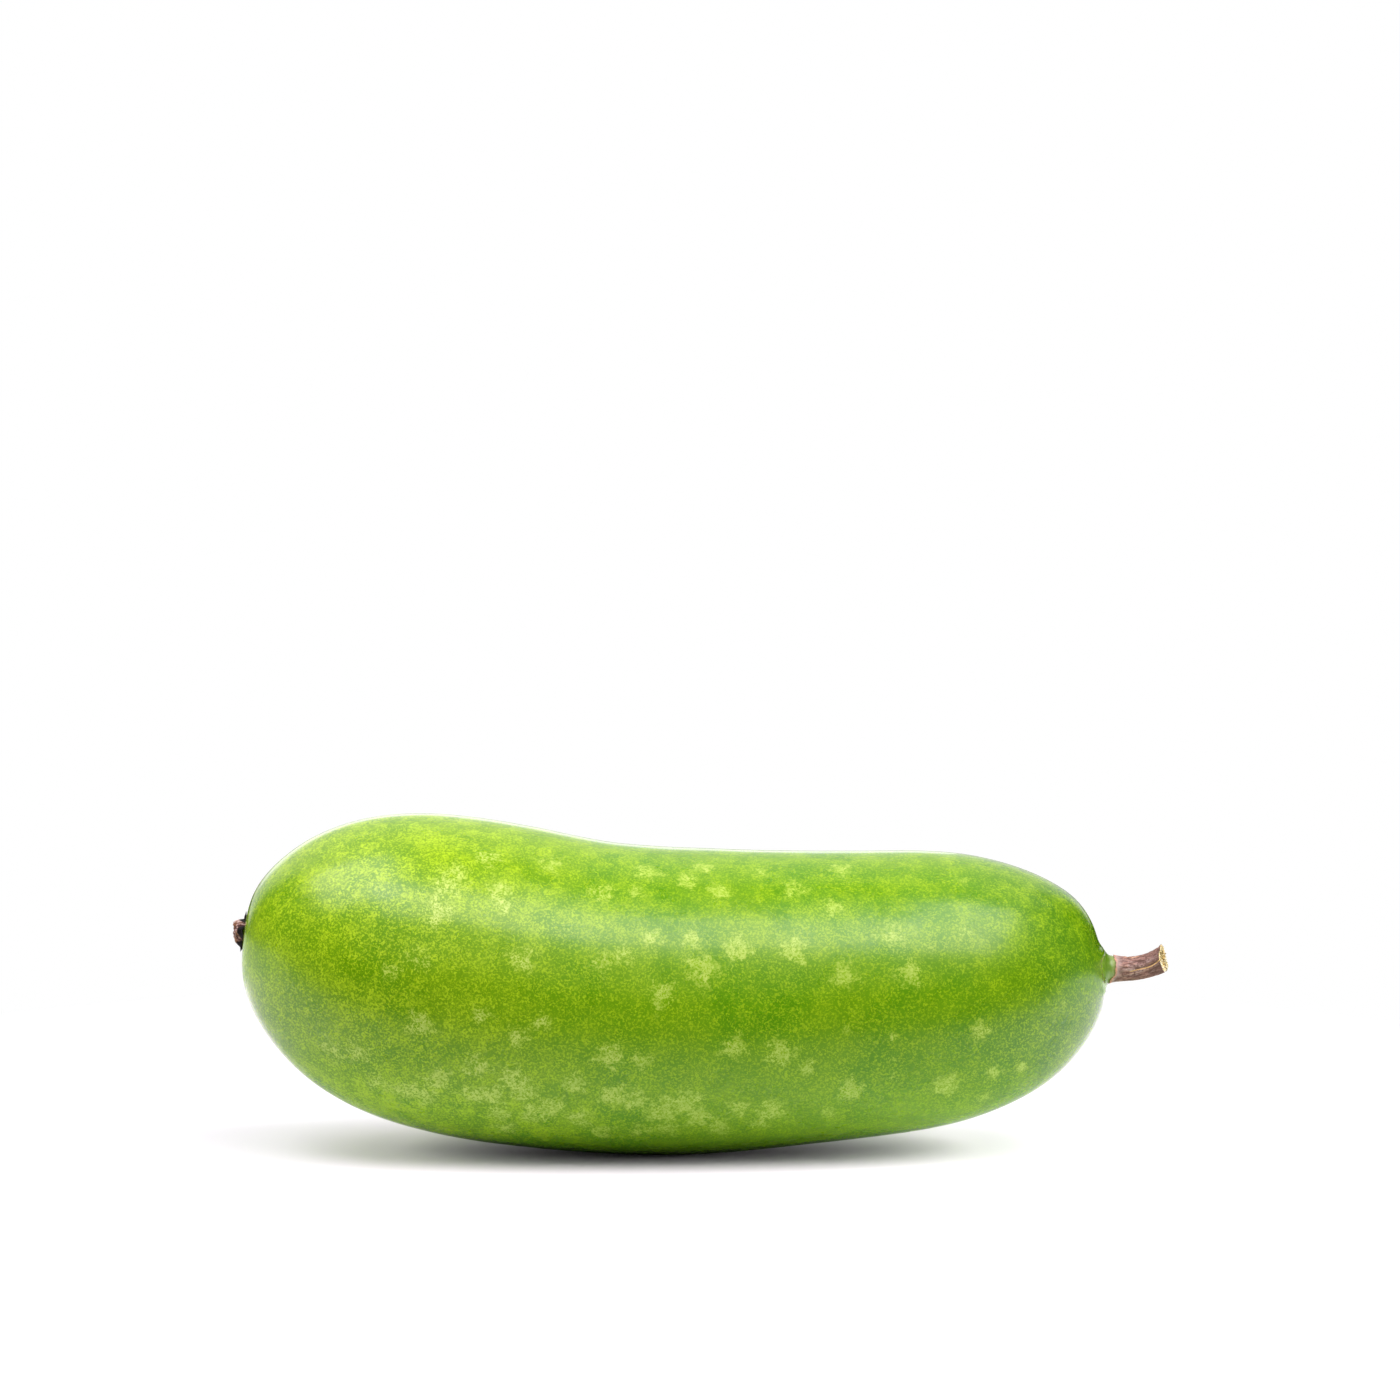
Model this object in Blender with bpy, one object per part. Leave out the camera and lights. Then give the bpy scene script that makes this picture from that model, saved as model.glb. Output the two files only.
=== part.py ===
"""A wax gourd lying on its side, with its cut stem and the dried flower at its other end.

Metres, +Z up. The origin is the middle of the small flat spot that the fruit rests on, and +X runs
along the fruit to the stem. A turn round the fruit is 0 at the top and a quarter turn at -Y.
"""

import math

import bmesh
import bpy
from mathutils import Matrix, Vector

MM = 0.001

# Fruit, from the middle of its resting spot
BLOSSOM_END = -147.8 * MM
STEM_END = 161.9 * MM
MIDDLE_RADIUS = 55.3 * MM
TAPER = 0.046
BLOSSOM_CAP = 101 * MM
STEM_CAP = 80 * MM
BLOSSOM_ROUNDNESS = 2.28
STEM_ROUNDNESS = 2.32
LOBES = 5
LOBE_DEPTH = 0.4 * MM
DIMPLE_RADIUS = 8 * MM
DIMPLE_DEPTH = 0.9 * MM

# Centre line of the fruit: lowest in the middle, rising to both ends and swaying back a little
CENTRE_HEIGHT = 54.55 * MM
BEND_X = -1.7 * MM
BEND_REACH = 44 * MM
BLOSSOM_RISE = 0.206
STEM_RISE = 0.102
BACK_SWAY = 3 * MM

# Green collar between the fruit and its stem
COLLAR_LENGTH = 2.5 * MM
COLLAR_RADIUS = 5 * MM
COLLAR_FLARE = 6 * MM
COLLAR_FLARE_LENGTH = 4.5 * MM

# Stem
STEM_RADIUS = 4.15 * MM
STEM_BASE_SWELL = 0.8 * MM
STEM_TIP_SWELL = 0.6 * MM
STEM_STRAIGHT = 5 * MM
STEM_BEND_RADIUS = 24 * MM
STEM_BEND = math.radians(38)
STEM_LEAN = math.radians(25)
STEM_ANGLES = 5
STEM_ANGLE_HEIGHT = 0.22 * MM
STEM_RIDGES = 13
STEM_RIDGE_HEIGHT = 0.1 * MM
CUT_BEFORE_TIP = 2.4 * MM
CUT_TURN = math.radians(21)
CUT_TILT = math.radians(11)
PITH_SHARE = 0.76
PITH_FLOOR_SHARE = 0.85
PITH_DEPTH = 1.3 * MM
TORN_HEIGHT = 0.5 * MM
TORN_WAVES = 5
TORN_FIBRES = 13

# Withered flower
FLOWER_LOBES = 5
FLOWER_RADIUS = 4.3 * MM
SEPAL_LENGTH = 2.4 * MM
SEPAL_THICKNESS = 0.7 * MM
SEPAL_CURL = 0.5 * MM
KNOB_HEIGHT = 2.4 * MM
KNOB_LEAN = 0.3
KNOB_RING = 2.9 * MM
KNOB_WIDTH = 1.7 * MM

# Space between two pieces that touch on the real gourd
GAP = 0.3 * MM

# Faces round each piece, and rings of points along it
FRUIT_SIDES = 64
BLOSSOM_CAP_RINGS = 21
MIDDLE_RINGS = 12
STEM_CAP_RINGS = 19
COLLAR_RINGS = 3
STEM_SIDES = 40
STEM_RINGS = 16
FLOWER_SIDES = 50
FLOWER_BACK_RINGS = 6
FLOWER_FRONT_RINGS = 10

GREEN = (0.16, 0.34, 0.02)
BARK_BROWN = (0.22, 0.13, 0.10)
DRY_BROWN = (0.17, 0.09, 0.06)

FULL_TURN = 2 * math.pi
SHARP_ANGLE = math.radians(40)
MERGE_DISTANCE = 0.001 * MM
ALONG_Y = Vector((0, 1, 0))
UNDERSIDE = Vector((0, 0, -1))


def clear_scene():
    for old in list(bpy.data.objects):
        bpy.data.objects.remove(old, do_unlink=True)


def finish(name, colour, roughness):
    """A plain, non-metal surface of one colour."""
    material = bpy.data.materials.new(name)
    material.use_nodes = True
    shader = material.node_tree.nodes["Principled BSDF"]
    shader.inputs["Base Color"].default_value = (*colour, 1)
    shader.inputs["Roughness"].default_value = roughness
    shader.inputs["Metallic"].default_value = 0
    return material


def clamp(value):
    return min(max(value, 0), 1)


def cap_factor(reach, roundness):
    """Share of the full radius at a place that lies `reach` of the way out to a rounded end."""
    return (1 - clamp(reach) ** roundness) ** (1 / roundness)


def body_radius(x):
    """Radius of the fruit without its collar."""
    full = MIDDLE_RADIUS - TAPER * x
    to_blossom = (BLOSSOM_END + BLOSSOM_CAP - x) / BLOSSOM_CAP
    to_stem = (x - STEM_END + STEM_CAP) / STEM_CAP
    return full * cap_factor(to_blossom, BLOSSOM_ROUNDNESS) * cap_factor(to_stem, STEM_ROUNDNESS)


def skin_radius(x):
    """Radius of the fruit, flowing into its collar at the stem's end."""
    body = body_radius(x)
    if x < STEM_END - STEM_CAP:
        return body
    flare = clamp((STEM_END + COLLAR_LENGTH - x) / COLLAR_FLARE_LENGTH)
    collar = COLLAR_RADIUS + COLLAR_FLARE * flare**2
    return (body**4 + collar**4) ** 0.25


def centre_slope(x):
    side = (x - BEND_X) / math.hypot(x - BEND_X, BEND_REACH)
    return (STEM_RISE + BLOSSOM_RISE) / 2 * side + (STEM_RISE - BLOSSOM_RISE) / 2


def centre_point(x):
    bend = math.hypot(x - BEND_X, BEND_REACH) - BEND_REACH
    rise = (STEM_RISE + BLOSSOM_RISE) / 2 * bend + (STEM_RISE - BLOSSOM_RISE) / 2 * (x - BEND_X)
    return Vector((x, BACK_SWAY * (x / STEM_END) ** 2, CENTRE_HEIGHT + rise))


def section_axes(x):
    """The direction along the fruit at x, level at the end of its collar, and the one up from it."""
    slope = centre_slope(x) * clamp((STEM_END + COLLAR_LENGTH - x) / COLLAR_FLARE_LENGTH)
    return Vector((1, 0, slope)).normalized(), Vector((-slope, 0, 1)).normalized()


def round_from(centre, up, out, turn):
    """The point at distance out from centre, turned from up towards -Y."""
    return centre + out * (math.cos(turn) * up - math.sin(turn) * ALONG_Y)


def fruit_point(x, out, turn):
    """The skin is very softly lobed, with a shallow trough between two lobes underneath."""
    along, up = section_axes(x)
    lobed = out + LOBE_DEPTH * out / MIDDLE_RADIUS * math.cos(LOBES * turn)
    inward = 0
    if x < 0:
        inward = DIMPLE_DEPTH * math.exp(-((out / DIMPLE_RADIUS) ** 2))
    return round_from(centre_point(x), up, lobed, turn) + inward * along


def stem_axis(s):
    """Point on the stem's centre line at length s, with its direction and its upward direction."""
    start_x = STEM_END + COLLAR_LENGTH
    along, up = section_axes(start_x)
    start = centre_point(start_x) + GAP * along
    side = math.cos(STEM_LEAN) * up - math.sin(STEM_LEAN) * ALONG_Y
    bent = max(s - STEM_STRAIGHT, 0) / STEM_BEND_RADIUS
    point = start + min(s, STEM_STRAIGHT) * along
    point += STEM_BEND_RADIUS * (math.sin(bent) * along + (1 - math.cos(bent)) * side)
    direction = math.cos(bent) * along + math.sin(bent) * side
    upward = (up - up.dot(direction) * direction).normalized()
    return point, direction, upward


def stem_length():
    return STEM_STRAIGHT + STEM_BEND_RADIUS * STEM_BEND


def stem_radius(s):
    base = STEM_BASE_SWELL * math.exp(-s / STEM_RADIUS)
    tip = STEM_TIP_SWELL * (s / stem_length()) ** 3
    return STEM_RADIUS + base + tip


def stem_point(s, out, turn):
    """The stem is blunt five-sided, with low bark ridges running along it."""
    centre, direction, up = stem_axis(s)
    sided = STEM_ANGLE_HEIGHT * math.cos(STEM_ANGLES * turn)
    ridged = STEM_RIDGE_HEIGHT * math.cos(STEM_RIDGES * turn)
    out += (sided + ridged) * out / STEM_RADIUS
    aside = direction.cross(up)
    return centre + out * (math.cos(turn) * up + math.sin(turn) * aside)


def sepal_share(turn):
    """1 at the middle of each of the flower's lobes, 0 between two of them."""
    return ((1 + math.cos(FLOWER_LOBES * turn)) / 2) ** 2


def end_depth(out):
    """How far the skin falls back from the fruit's blossom end, at distance out from its axis."""
    full = MIDDLE_RADIUS - TAPER * BLOSSOM_END
    share = (1 - (out / full) ** BLOSSOM_ROUNDNESS) ** (1 / BLOSSOM_ROUNDNESS)
    return BLOSSOM_CAP * (1 - share) + DIMPLE_DEPTH * math.exp(-((out / DIMPLE_RADIUS) ** 2))


def flower_point(front, reach, turn):
    """A point of the flower's front (1) or back (0), reach of the way from middle to edge."""
    sepal = sepal_share(turn)
    uneven = 1 + KNOB_LEAN * math.cos(turn)
    out = reach * (FLOWER_RADIUS + SEPAL_LENGTH * sepal * uneven)
    knobs = 0.6 + 0.4 * math.cos(FLOWER_LOBES * turn)
    ring = math.exp(-(((out - KNOB_RING) / KNOB_WIDTH) ** 2))
    height = GAP + SEPAL_CURL * sepal * reach**4
    if front:
        height += SEPAL_THICKNESS + KNOB_HEIGHT * knobs * ring * uneven
    along, up = section_axes(BLOSSOM_END)
    centre = centre_point(BLOSSOM_END) + (end_depth(out) - height) * along
    return round_from(centre, up, out, turn)


def spin_shape(profile, segments, rule):
    """Turn a profile of (along, out) pairs round the X axis, then place each point by its rule."""
    mesh = bmesh.new()
    verts = [mesh.verts.new((along, 0, out)) for along, out in profile]
    edges = [mesh.edges.new(pair) for pair in zip(verts, verts[1:])]
    bmesh.ops.spin(
        mesh, geom=verts + edges, cent=(0, 0, 0), axis=(1, 0, 0),
        angle=FULL_TURN, steps=segments, use_merge=True, use_duplicate=False,
    )
    bmesh.ops.remove_doubles(mesh, verts=mesh.verts, dist=MERGE_DISTANCE)
    for vert in mesh.verts:
        along, y, z = vert.co
        vert.co = rule(along, math.hypot(y, z), math.atan2(-y, z))
    return mesh


def keep_piece(name, mesh, material):
    """Make the finished mesh an object of its own, smooth but for its sharp edges."""
    bmesh.ops.recalc_face_normals(mesh, faces=mesh.faces)
    data = bpy.data.meshes.new(name)
    mesh.to_mesh(data)
    mesh.free()
    data.materials.append(material)
    data.shade_smooth()
    data.set_sharp_from_angle(angle=SHARP_ANGLE)
    bpy.context.collection.objects.link(bpy.data.objects.new(name, data))


def cap_steps(count, roundness):
    """Distances from a rounded end, in shares of its length, closer together at the pole."""
    turns = [math.pi / 2 * i / count for i in range(count)]
    return [1 - math.cos(turn) ** (2 / roundness) for turn in turns]


def even_steps(start, end, count):
    return [start + (end - start) * i / count for i in range(count + 1)]


def fruit_profile():
    """Skin from the blossom pole to the stem end, and the collar's flat end."""
    blossom_steps = cap_steps(BLOSSOM_CAP_RINGS, BLOSSOM_ROUNDNESS)
    stem_steps = cap_steps(STEM_CAP_RINGS, STEM_ROUNDNESS)
    places = [BLOSSOM_END + BLOSSOM_CAP * share for share in blossom_steps]
    places += even_steps(BLOSSOM_END + BLOSSOM_CAP, STEM_END - STEM_CAP, MIDDLE_RINGS)
    places += [STEM_END - STEM_CAP * share for share in reversed(stem_steps)]
    places += even_steps(STEM_END, STEM_END + COLLAR_LENGTH, COLLAR_RINGS)[1:]
    return [(x, skin_radius(x)) for x in places] + [(places[-1], 0)]


def cut_flat(mesh, place, outward):
    """Cut away what lies beyond a plane, and close the cut with one flat face."""
    geom = mesh.verts[:] + mesh.edges[:] + mesh.faces[:]
    cut = bmesh.ops.bisect_plane(
        mesh, geom=geom, plane_co=place, plane_no=outward, clear_outer=True,
    )
    rim = [item for item in cut["geom_cut"] if isinstance(item, bmesh.types.BMEdge)]
    return bmesh.ops.edgeloop_fill(mesh, edges=rim)["faces"]


def make_fruit():
    mesh = spin_shape(fruit_profile(), FRUIT_SIDES, fruit_point)
    cut_flat(mesh, Vector(), UNDERSIDE)
    keep_piece("fruit", mesh, finish("green_skin", GREEN, 0.42))


def corners(faces):
    return {vert for face in faces for vert in face.verts}


def inner_ring(mesh, faces, middle, share):
    """Shrink faces about their middle, and return the ring of new faces left around them."""
    ring = bmesh.ops.inset_region(mesh, faces=faces, thickness=0)["faces"]
    about = Matrix.Translation(-middle)
    bmesh.ops.scale(mesh, verts=list(corners(faces)), vec=Vector((share,) * 3), space=about)
    return ring


def tear(verts, middle, outward):
    """Leave the rim of a cut uneven, as torn fibres do."""
    for vert in verts:
        turn = math.atan2(vert.co.y - middle.y, vert.co.z - middle.z)
        torn = (math.sin(TORN_WAVES * turn) + math.sin(TORN_FIBRES * turn)) / 2
        vert.co += TORN_HEIGHT * torn * outward


def make_stem():
    """The stem is cut off at a slant, and inside its bark the pith has sunk."""
    length = stem_length()
    sides = [(s, stem_radius(s)) for s in even_steps(0, length, STEM_RINGS)]
    mesh = spin_shape([(0, 0)] + sides + [(length, 0)], STEM_SIDES, stem_point)
    middle = stem_axis(length - CUT_BEFORE_TIP)[0]
    outward = Vector((math.cos(CUT_TURN), -math.sin(CUT_TURN), math.tan(CUT_TILT))).normalized()
    cut = cut_flat(mesh, middle, outward)
    bark = inner_ring(mesh, cut, middle, PITH_SHARE)
    wall = inner_ring(mesh, cut, middle, PITH_FLOOR_SHARE)
    bmesh.ops.translate(mesh, verts=list(corners(cut)), vec=-PITH_DEPTH * outward)
    bmesh.ops.poke(mesh, faces=cut)
    tear(corners(bark) - corners(wall), middle, outward)
    keep_piece("stem", mesh, finish("brown_bark", BARK_BROWN, 0.75))


def make_withered_flower():
    back = [(0, reach) for reach in even_steps(0, 1, FLOWER_BACK_RINGS)]
    front = [(1, reach) for reach in even_steps(1, 0, FLOWER_FRONT_RINGS)]
    mesh = spin_shape(back + front, FLOWER_SIDES, flower_point)
    keep_piece("withered_flower", mesh, finish("dry_flower", DRY_BROWN, 0.85))


def main():
    clear_scene()
    make_fruit()
    make_stem()
    make_withered_flower()


main()
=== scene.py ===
# %% [markdown]
# # A wax gourd on a white table
#
# The gourd is one grown fruit that lies on its side, with a woody stem at one end and the dried-up
# flower at the other. Its measured shape comes as a fixed frame of plain solids. This lesson puts a
# finely modelled piece in place of each solid, and gives it the skin, bark or dry petals that the
# real one has. Lengths are in metres, +Z is up, and +X runs along the fruit to the stem.

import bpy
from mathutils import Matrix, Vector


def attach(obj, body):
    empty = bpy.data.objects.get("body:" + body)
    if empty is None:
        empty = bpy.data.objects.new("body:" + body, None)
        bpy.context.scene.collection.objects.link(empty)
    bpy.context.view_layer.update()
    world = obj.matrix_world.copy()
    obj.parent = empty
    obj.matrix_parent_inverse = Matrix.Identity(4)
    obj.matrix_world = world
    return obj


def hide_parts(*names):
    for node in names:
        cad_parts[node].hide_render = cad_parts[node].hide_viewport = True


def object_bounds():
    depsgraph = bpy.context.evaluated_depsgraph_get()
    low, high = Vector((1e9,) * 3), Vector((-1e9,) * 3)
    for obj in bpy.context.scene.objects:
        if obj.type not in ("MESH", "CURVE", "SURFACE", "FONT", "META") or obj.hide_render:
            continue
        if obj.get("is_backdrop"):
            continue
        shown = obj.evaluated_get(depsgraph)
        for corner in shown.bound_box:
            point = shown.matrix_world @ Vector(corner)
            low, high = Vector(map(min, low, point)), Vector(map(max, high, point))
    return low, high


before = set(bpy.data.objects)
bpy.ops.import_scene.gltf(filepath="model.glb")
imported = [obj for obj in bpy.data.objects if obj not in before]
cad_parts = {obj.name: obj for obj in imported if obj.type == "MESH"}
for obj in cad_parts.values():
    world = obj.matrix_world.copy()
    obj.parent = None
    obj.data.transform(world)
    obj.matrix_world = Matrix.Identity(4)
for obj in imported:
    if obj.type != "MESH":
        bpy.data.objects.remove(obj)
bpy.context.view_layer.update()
print("nodes", sorted(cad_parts))

# %% Libraries and units
import math
import random

import bmesh
import bpy
from mathutils import Matrix, Vector, kdtree, noise
from mathutils.bvhtree import BVHTree

MM = 0.001
FULL_TURN = 2 * math.pi
scene = bpy.context.scene

# %% [markdown]
# ## Camera
#
# The photograph was taken with a long lens from a little above the gourd, which lies low in the
# frame. A camera that aims above the gourd puts it there without any lens shift. The angle of the
# view is known from how much of the fruit's top shows, and the distance from its size.

# %% Camera
PHOTO_PIXELS = 1400
LENS = 100
SENSOR = 36
VIEW_X = 16.1 * MM
VIEW_HEIGHT = 61 * MM
VIEW_DISTANCE = 1404 * MM
LOOKING_DOWN = math.radians(8)
AIM_ABOVE = math.radians(4.16)

camera_data = bpy.data.cameras.new("camera")
camera_data.lens = LENS
camera_data.sensor_width = SENSOR
camera_data.dof.use_dof = False
camera = bpy.data.objects.new("camera", camera_data)
scene.collection.objects.link(camera)
back = Vector((0, -math.cos(LOOKING_DOWN), math.sin(LOOKING_DOWN)))
camera.location = Vector((VIEW_X, 0, VIEW_HEIGHT)) + VIEW_DISTANCE * back
camera.rotation_euler = (math.pi / 2 - LOOKING_DOWN + AIM_ABOVE, 0, 0)
scene.camera = camera
print("camera at", [round(v, 3) for v in camera.location])


def sight_line(column, row):
    """Direction from the camera through a pixel of the photograph."""
    focal = PHOTO_PIXELS * LENS / SENSOR
    aim = Vector((column - PHOTO_PIXELS / 2, PHOTO_PIXELS / 2 - row, -focal))
    return (camera.rotation_euler.to_matrix() @ aim).normalized()


# %% [markdown]
# ## Table
#
# The gourd lies on a white table, which shows only as a plain ground with a soft, dark strip of
# shadow where the fruit touches it. In a studio it would be a sheet of paper that sweeps up behind.
# One flat face is enough here, because its paint turns into the white of the backdrop far off.

# %% Table top
FLOOR_LEFT_RIGHT = 1.5
FLOOR_BACK = 0.9
FLOOR_FRONT = -1.2

mesh = bmesh.new()
bmesh.ops.create_grid(mesh, x_segments=1, y_segments=1, size=0.5)
bmesh.ops.scale(mesh, verts=mesh.verts, vec=(2 * FLOOR_LEFT_RIGHT, FLOOR_BACK - FLOOR_FRONT, 1))
bmesh.ops.translate(mesh, verts=mesh.verts, vec=(0, (FLOOR_BACK + FLOOR_FRONT) / 2, 0))
floor_data = bpy.data.meshes.new("floor")
mesh.to_mesh(floor_data)
mesh.free()
floor = bpy.data.objects.new("floor", floor_data)
scene.collection.objects.link(floor)
floor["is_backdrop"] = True
print("table", 2 * FLOOR_LEFT_RIGHT, "by", FLOOR_BACK - FLOOR_FRONT, "metres")

# %% [markdown]
# ## Table paint
#
# A shiny fruit mirrors the table close by and takes light back from it, so a photographer shades
# the table with cards until the fruit looks right. Cards would throw shadows of their own, so here
# the paint does their work, and a Light Path node tells it what kind of ray meets the table. The
# camera sees it white all over. Rays that left the skin meet it less bright, and darkest right
# under the fruit and on the side of the room.


# %% A short way to add nodes
def node(tree, kind, inputs=None, **settings):
    """Add a node to a node tree, and set each named input to a value or link a socket to it."""
    made = tree.nodes.new(kind)
    for name, value in settings.items():
        setattr(made, name, value)
    for name, value in (inputs or {}).items():
        if isinstance(value, bpy.types.NodeSocket):
            tree.links.new(value, made.inputs[name])
        else:
            made.inputs[name].default_value = value
    return made


def steps(tree, value, start, end, low=0.0, high=1.0, smooth=True):
    """A socket that goes from low to high while value goes from start to end."""
    kind = "SMOOTHSTEP" if smooth else "LINEAR"
    inputs = {"Value": value, "From Min": start, "From Max": end, "To Min": low, "To Max": high}
    return node(tree, "ShaderNodeMapRange", inputs, interpolation_type=kind).outputs["Result"]


def mixed(tree, share, first, second):
    """A colour between first and second. The inputs 6 and 7 of a Mix node are its colours."""
    inputs = {"Factor": share, 6: first, 7: second}
    return node(tree, "ShaderNodeMix", inputs, data_type="RGBA").outputs[2]


# %% Sums in a node tree
def maths(tree, operation, first, second=0.0, third=0.0):
    """The result of one sum on values or sockets."""
    inputs = {0: first, 1: second, 2: third}
    return node(tree, "ShaderNodeMath", inputs, operation=operation).outputs["Value"]


def product(tree, *factors):
    """The product of two or more values or sockets."""
    result = factors[0]
    for factor in factors[1:]:
        result = maths(tree, "MULTIPLY", result, factor)
    return result


def vector_maths(tree, operation, first, second):
    made = node(tree, "ShaderNodeVectorMath", {0: first, 1: second}, operation=operation)
    return made.outputs["Vector"]


def length_of(tree, vector):
    return node(tree, "ShaderNodeVectorMath", {0: vector}, operation="LENGTH").outputs["Value"]


def component(tree, vector, axis):
    return node(tree, "ShaderNodeSeparateXYZ", {"Vector": vector}).outputs[axis]


# %% A new material, and the place that it reads
def plain_material(name):
    """A new material, its node tree and its shader."""
    material = bpy.data.materials.new(name)
    material.use_nodes = True
    return material, material.node_tree, material.node_tree.nodes["Principled BSDF"]


def object_place(tree):
    """The place on the object itself, in metres."""
    return node(tree, "ShaderNodeTexCoord").outputs["Object"]


# %% What the fruit gets back from the table
# Colours beside the fruit, in a ring further off that the skin mirrors, right under the fruit, and
# towards the room. They are painted light and shade for rays that leave the fruit: brighter in the
# ring, as a painted reflection, and darker under the fruit and towards the room, as painted shade.
# Each pair is the two places between which one colour turns into the other. The painted shade under
# the fruit is longer than it is deep.
FLOOR_BOUNCE = (0.485, 0.535, 0.43, 1)
FLOOR_MIRRORED = (0.72, 0.68, 0.72, 1)
UNDER_BOUNCE = (0.12, 0.13, 0.10, 1)
FLOOR_DIM = (0.03, 0.03, 0.03, 1)
RING_STARTS = (0.13, 0.20)
RING_ENDS = (0.45, 0.35)
ALONG_FRUIT = (0.55, 1, 1)
BESIDE_FRUIT = (0.02, 0.065)
DIM_TO_BRIGHT = (-0.17, -0.045)

table, tree, shader = plain_material("white_table")
place = object_place(tree)
rays = node(tree, "ShaderNodeLightPath").outputs
far_off = length_of(tree, place)
aside = length_of(tree, vector_maths(tree, "MULTIPLY", place, ALONG_FRUIT))
in_ring = product(tree, steps(tree, far_off, *RING_STARTS), steps(tree, far_off, *RING_ENDS))
mirrored_ring = product(tree, in_ring, rays["Is Glossy Ray"])
bounced = mixed(tree, mirrored_ring, FLOOR_BOUNCE, FLOOR_MIRRORED)
bounced = mixed(tree, steps(tree, aside, *BESIDE_FRUIT), UNDER_BOUNCE, bounced)
towards_room = steps(tree, component(tree, place, "Y"), *DIM_TO_BRIGHT, smooth=False)
bounced = mixed(tree, towards_room, FLOOR_DIM, bounced)

# %% What the camera sees of the table
# By the fruit its white makes up for the green light in the shadow. Far off it becomes a backdrop.
WHITE_BY_FRUIT = (0.715, 0.670, 0.730, 1)
FLOOR_WHITE = (0.700, 0.686, 0.718, 1)
OFF_FRUIT = (0.09, 0.15)
INTO_BACKDROP = (0.3, 0.45)

seen = rays["Is Camera Ray"]
white = mixed(tree, steps(tree, far_off, *OFF_FRUIT), WHITE_BY_FRUIT, FLOOR_WHITE)
tree.links.new(mixed(tree, seen, bounced, white), shader.inputs["Base Color"])
shader.inputs["Roughness"].default_value = 0.9
shader.inputs["Specular IOR Level"].default_value = 0
backdrop_share = product(tree, steps(tree, far_off, *INTO_BACKDROP), seen)
glow = node(tree, "ShaderNodeEmission", {"Color": (1, 1, 1, 1)}).outputs["Emission"]
blend = node(tree, "ShaderNodeMixShader", {0: backdrop_share, 1: shader.outputs["BSDF"], 2: glow})
tree.links.new(blend.outputs["Shader"], tree.nodes["Material Output"].inputs["Surface"])
floor_data.materials.append(table)
print("table paint", len(tree.nodes), "nodes")

# %% [markdown]
# ## Lamps
#
# The skin mirrors what stands round it: two soft boxes overhead with a third between them, a pale
# ceiling and wall behind, and a dark room on the camera's side. An image of a studio could light
# it too, but area lamps are simple to place, and each can be left out of the reflections. Light
# linking keeps the lamps that shade the fruit apart from those that shape its shadow.

# %% A soft lamp
LAMP_DISTANCE = 1.3


def soft_lamp(name, tilt, aside, width, height, radiance, distance=LAMP_DISTANCE, mirrored=True):
    """A soft rectangular lamp that faces the fruit.

    Its tilt is 0 level on the camera's side, 90 overhead and 180 level behind. Its angle aside is
    positive towards the stem.
    """
    tilt, aside = math.radians(tilt), math.radians(aside)
    flat = math.cos(aside)
    away = Vector((math.sin(aside), -flat * math.cos(tilt), flat * math.sin(tilt)))
    level = (Vector((1, 0, 0)) - away.x * away).normalized()
    turned = Matrix((level, away.cross(level), away)).transposed()
    data = bpy.data.lights.new(name, "AREA")
    data.shape = "RECTANGLE"
    data.size = width
    data.size_y = height
    data.energy = radiance * width * height * math.pi
    lamp = bpy.data.objects.new(name, data)
    lamp.location = Vector((0, 0, VIEW_HEIGHT)) + distance * away
    lamp.rotation_euler = turned.to_euler()
    lamp.visible_camera = False
    lamp.visible_glossy = mirrored
    scene.collection.objects.link(lamp)
    return lamp


# %% What the skin mirrors
# Tilt and angle aside in degrees, width and height in metres, radiance. The boxes are a little
# pink, which keeps their shine on the wax from turning green.
SOFTBOX_TINT = (1.0, 0.945, 1.0)

softboxes = [
    soft_lamp("left_softbox", 84, -31, 0.72, 0.8, 3.9),
    soft_lamp("middle_softbox", 63, -6, 0.9, 0.6, 3.4),
    soft_lamp("right_softbox", 66, 25, 0.7, 1.15, 4.1),
]
for lamp in softboxes:
    lamp.data.color = SOFTBOX_TINT
soft_lamp("right_softbox_edge", 66, 45, 0.3, 0.9, 0.35)
soft_lamp("pale_ceiling", 116, 0, 2.6, 0.5, 0.7, distance=1.5)
soft_lamp("back_wall", 152, -6, 2.7, 1.7, 0.88, distance=1.7)
soft_lamp("back_strip", 168, -10, 1.2, 0.36, 0.9, distance=1.8)

# %% Light that the skin doesn't mirror
# The first three lamps leave out the table, and the next three shine on nothing else.
fruit_lamps = [
    soft_lamp("left_fill", 90, -72, 1.2, 1.0, 0.5, mirrored=False),
    soft_lamp("right_fill", 90, 72, 1.2, 1.0, 0.95, mirrored=False),
    soft_lamp("front_fill", 30, 0, 2.4, 0.9, 1.5, distance=1.6, mirrored=False),
]
table_lamps = [
    soft_lamp("left_table_lamp", 75, -80, 1.4, 0.8, 9.3, mirrored=False),
    soft_lamp("right_table_lamp", 75, 80, 1.4, 0.8, 20.0, mirrored=False),
    soft_lamp("front_table_lamp", 35, 0, 2.4, 0.9, 0.65, distance=1.6, mirrored=False),
]
table_only = bpy.data.collections.new("table_only")
table_only.objects.link(floor)
for lamp in table_lamps:
    lamp.light_linking.receiver_collection = table_only
not_table = bpy.data.collections.new("not_table")
not_table.objects.link(floor)
not_table.collection_objects[0].light_linking.link_state = "EXCLUDE"
for lamp in fruit_lamps:
    lamp.light_linking.receiver_collection = not_table

# %% Backdrop
# The camera sees white behind the table, while the skin mirrors a room that is almost dark.
ROOM_GLOW = 0.01

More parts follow.
